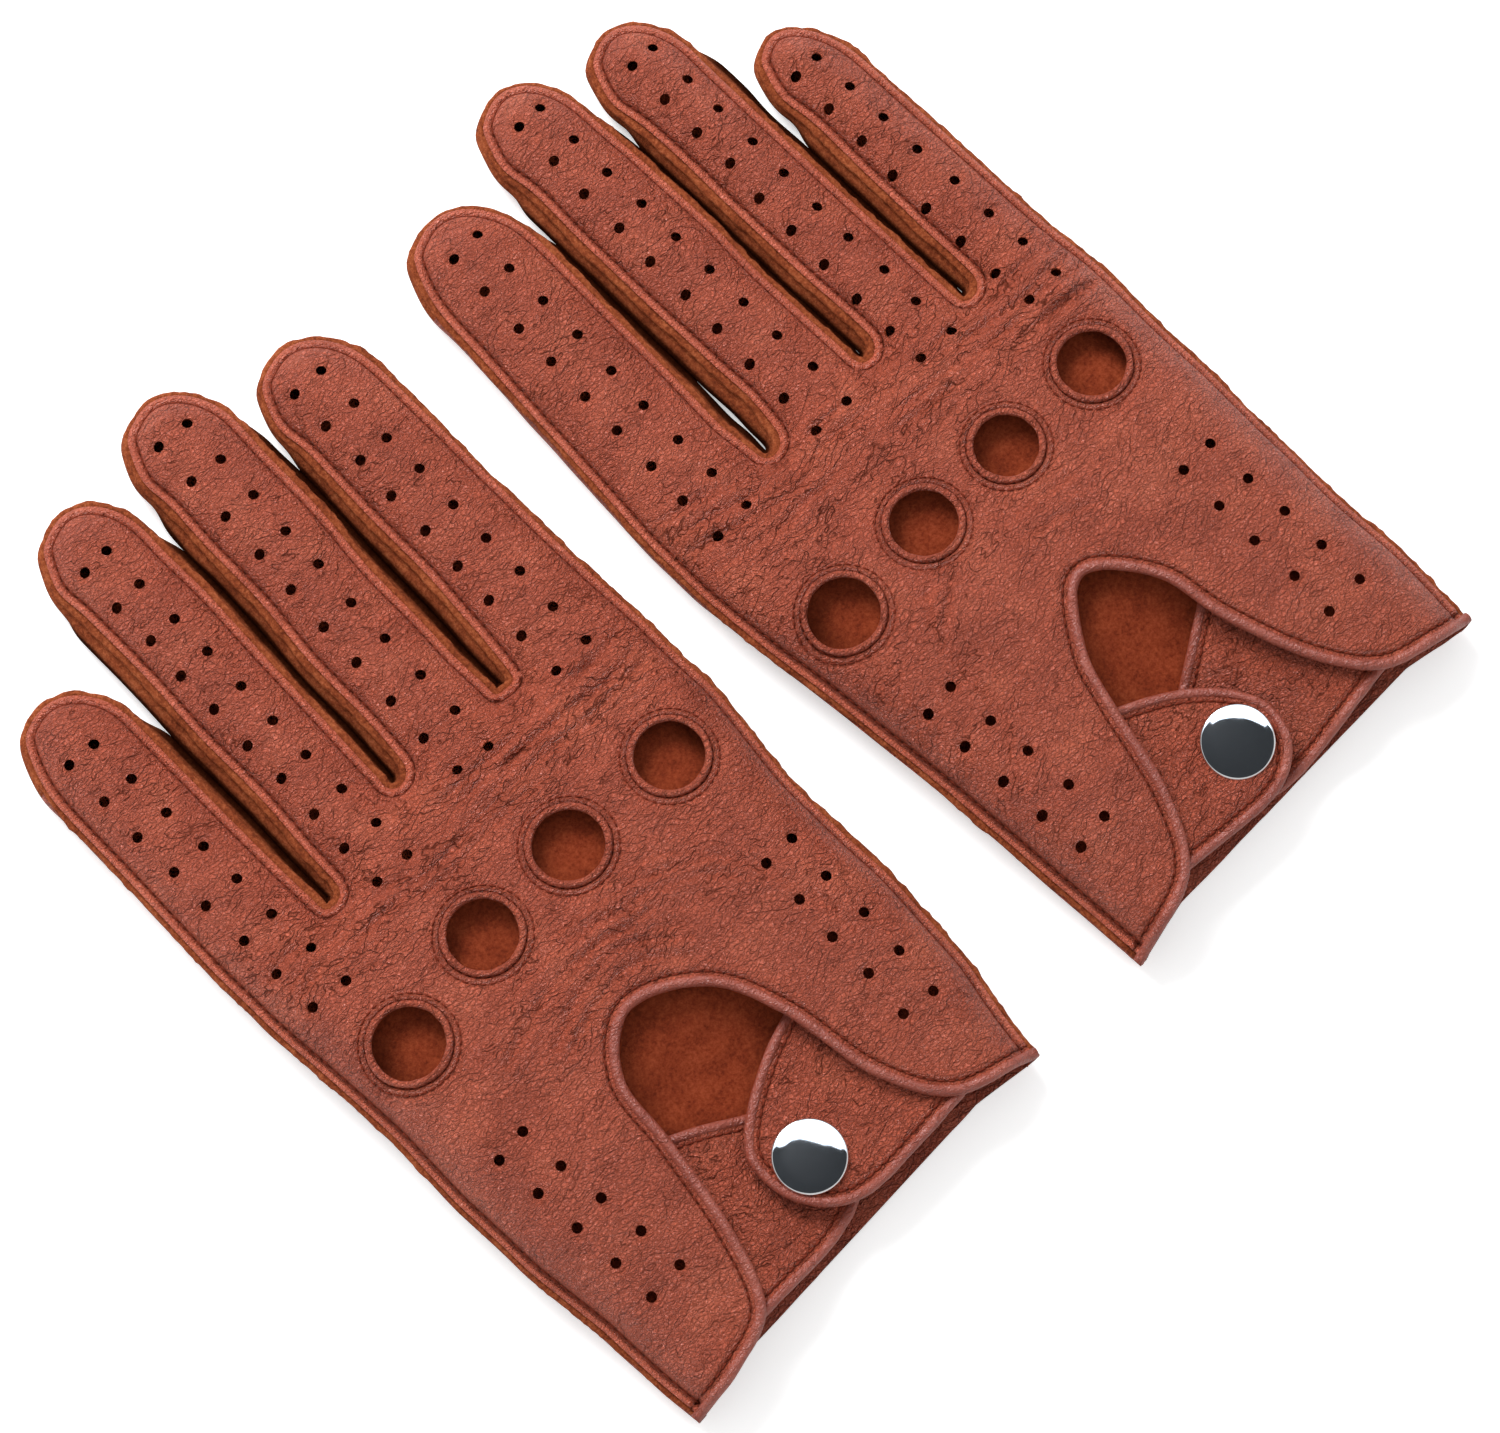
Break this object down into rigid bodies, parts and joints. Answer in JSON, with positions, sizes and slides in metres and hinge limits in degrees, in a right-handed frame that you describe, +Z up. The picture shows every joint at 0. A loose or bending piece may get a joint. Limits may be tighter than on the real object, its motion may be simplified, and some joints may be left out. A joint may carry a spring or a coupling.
{
  "type": "driving gloves",
  "caption": "Pair of unlined leather driving gloves with knuckle holes, perforated backs and a wrist opening closed by a snap tab, lying palm down.",
  "frame": {"origin": "on the table under the middle of the pair", "axes": "+Z up from the table, +Y towards the fingertips, +X from the left glove to the right glove"},
  "size_m": [0.2304, 0.225, 0.0183],
  "materials": {
    "leather": "fine pebble grain, semi-matt red-brown",
    "piping": "smooth rolled edge, slightly darker and greyer",
    "suede": "fuzzy raw suede, orange-brown",
    "chrome": "mirror polish",
    "snap_steel": "plain plated steel"
  },
  "bodies": {
    "left_hand": {"left_back_panel": "leather", "left_palm_panel": "leather", "left_opening_piping": "piping", "left_knuckle_facings": "leather", "left_wrist_hem": "leather", "left_web_gussets": "suede", "left_tab_roots": "leather"},
    "left_little_finger": {"left_little_finger_back": "leather", "left_little_finger_palm": "leather", "left_little_finger_gussets": "suede"},
    "left_ring_finger": {"left_ring_finger_back": "leather", "left_ring_finger_palm": "leather", "left_ring_finger_gussets": "suede"},
    "left_middle_finger": {"left_middle_finger_back": "leather", "left_middle_finger_palm": "leather", "left_middle_finger_gussets": "suede"},
    "left_index_finger": {"left_index_finger_back": "leather", "left_index_finger_palm": "leather", "left_index_finger_gussets": "suede"},
    "left_thumb": {"left_thumb_front": "leather", "left_thumb_back": "leather"},
    "left_snap_tab": {"left_snap_tab": "leather", "left_snap_cap": "chrome", "left_snap_socket": "snap_steel"},
    "left_stud_tab": {"left_stud_tab": "leather", "left_snap_stud": "snap_steel", "left_snap_post": "snap_steel"},
    "right_hand": {"right_back_panel": "leather", "right_palm_panel": "leather", "right_opening_piping": "piping", "right_knuckle_facings": "leather", "right_wrist_hem": "leather", "right_web_gussets": "suede", "right_tab_roots": "leather"},
    "right_little_finger": {"right_little_finger_back": "leather", "right_little_finger_palm": "leather", "right_little_finger_gussets": "suede"},
    "right_ring_finger": {"right_ring_finger_back": "leather", "right_ring_finger_palm": "leather", "right_ring_finger_gussets": "suede"},
    "right_middle_finger": {"right_middle_finger_back": "leather", "right_middle_finger_palm": "leather", "right_middle_finger_gussets": "suede"},
    "right_index_finger": {"right_index_finger_back": "leather", "right_index_finger_palm": "leather", "right_index_finger_gussets": "suede"},
    "right_thumb": {"right_thumb_front": "leather", "right_thumb_back": "leather"},
    "right_snap_tab": {"right_snap_tab": "leather", "right_snap_cap": "chrome", "right_snap_socket": "snap_steel"},
    "right_stud_tab": {"right_stud_tab": "leather", "right_snap_stud": "snap_steel", "right_snap_post": "snap_steel"}
  },
  "joints": [
    {"name": "left_little_finger_bend", "type": "hinge", "parent": "left_hand", "child": "left_little_finger", "pos_m": [-0.10203, 0.01497, 0.004], "axis": [-0.9997, 0.0262, 0], "range_deg": [-10, 80]},
    {"name": "left_ring_finger_bend", "type": "hinge", "parent": "left_hand", "child": "left_ring_finger", "pos_m": [-0.07501, 0.02326, 0.004], "axis": [-0.9997, 0.0262, 0], "range_deg": [-10, 80]},
    {"name": "left_middle_finger_bend", "type": "hinge", "parent": "left_hand", "child": "left_middle_finger", "pos_m": [-0.04869, 0.02357, 0.004], "axis": [-0.9997, 0.0262, 0], "range_deg": [-10, 80]},
    {"name": "left_index_finger_bend", "type": "hinge", "parent": "left_hand", "child": "left_index_finger", "pos_m": [-0.01843, 0.02178, 0.004], "axis": [-0.9997, 0.0262, 0], "range_deg": [-10, 80]},
    {"name": "left_thumb_swing", "type": "hinge", "parent": "left_hand", "child": "left_thumb", "pos_m": [-0.02005, -0.0592, 0.0057], "axis": [-0.91, -0.4147, 0], "range_deg": [0, 70]},
    {"name": "left_snap_tab_lift", "type": "hinge", "parent": "left_hand", "child": "left_snap_tab", "pos_m": [-0.04119, -0.08746, 0.0112], "axis": [-0.2368, 0.9716, 0], "range_deg": [0, 100]},
    {"name": "left_stud_tab_lift", "type": "hinge", "parent": "left_hand", "child": "left_stud_tab", "pos_m": [-0.07358, -0.08831, 0.0112], "axis": [-0.1902, -0.9818, 0], "range_deg": [0, 18]},
    {"name": "right_little_finger_bend", "type": "hinge", "parent": "right_hand", "child": "right_little_finger", "pos_m": [0.1021, 0.01192, 0.004], "axis": [-0.9997, -0.0262, 0], "range_deg": [-10, 80]},
    {"name": "right_ring_finger_bend", "type": "hinge", "parent": "right_hand", "child": "right_ring_finger", "pos_m": [0.07764, 0.01928, 0.004], "axis": [-0.9997, -0.0262, 0], "range_deg": [-10, 80]},
    {"name": "right_middle_finger_bend", "type": "hinge", "parent": "right_hand", "child": "right_middle_finger", "pos_m": [0.0526, 0.02062, 0.004], "axis": [-0.9997, -0.0262, 0], "range_deg": [-10, 80]},
    {"name": "right_index_finger_bend", "type": "hinge", "parent": "right_hand", "child": "right_index_finger", "pos_m": [0.02124, 0.0188, 0.004], "axis": [-0.9997, -0.0262, 0], "range_deg": [-10, 80]},
    {"name": "right_thumb_swing", "type": "hinge", "parent": "right_hand", "child": "right_thumb", "pos_m": [0.02391, -0.06216, 0.0057], "axis": [-0.9239, 0.3827, 0], "range_deg": [0, 70]},
    {"name": "right_snap_tab_lift", "type": "hinge", "parent": "right_hand", "child": "right_snap_tab", "pos_m": [0.04669, -0.08792, 0.0112], "axis": [-0.24, -0.9708, 0], "range_deg": [0, 100]},
    {"name": "right_stud_tab_lift", "type": "hinge", "parent": "right_hand", "child": "right_stud_tab", "pos_m": [0.07707, -0.08692, 0.0112], "axis": [-0.3543, 0.9351, 0], "range_deg": [0, 18]},
    {"name": "right_glove_lift", "type": "slide", "parent": "left_hand", "child": "right_hand", "axis": [0, 0, 1], "range_m": [0, 0.1]}
  ],
  "couplings": [
    {"joint": "left_stud_tab_lift", "follows": "left_snap_tab_lift", "ratio": 0.18},
    {"joint": "right_stud_tab_lift", "follows": "right_snap_tab_lift", "ratio": 0.18}
  ]
}
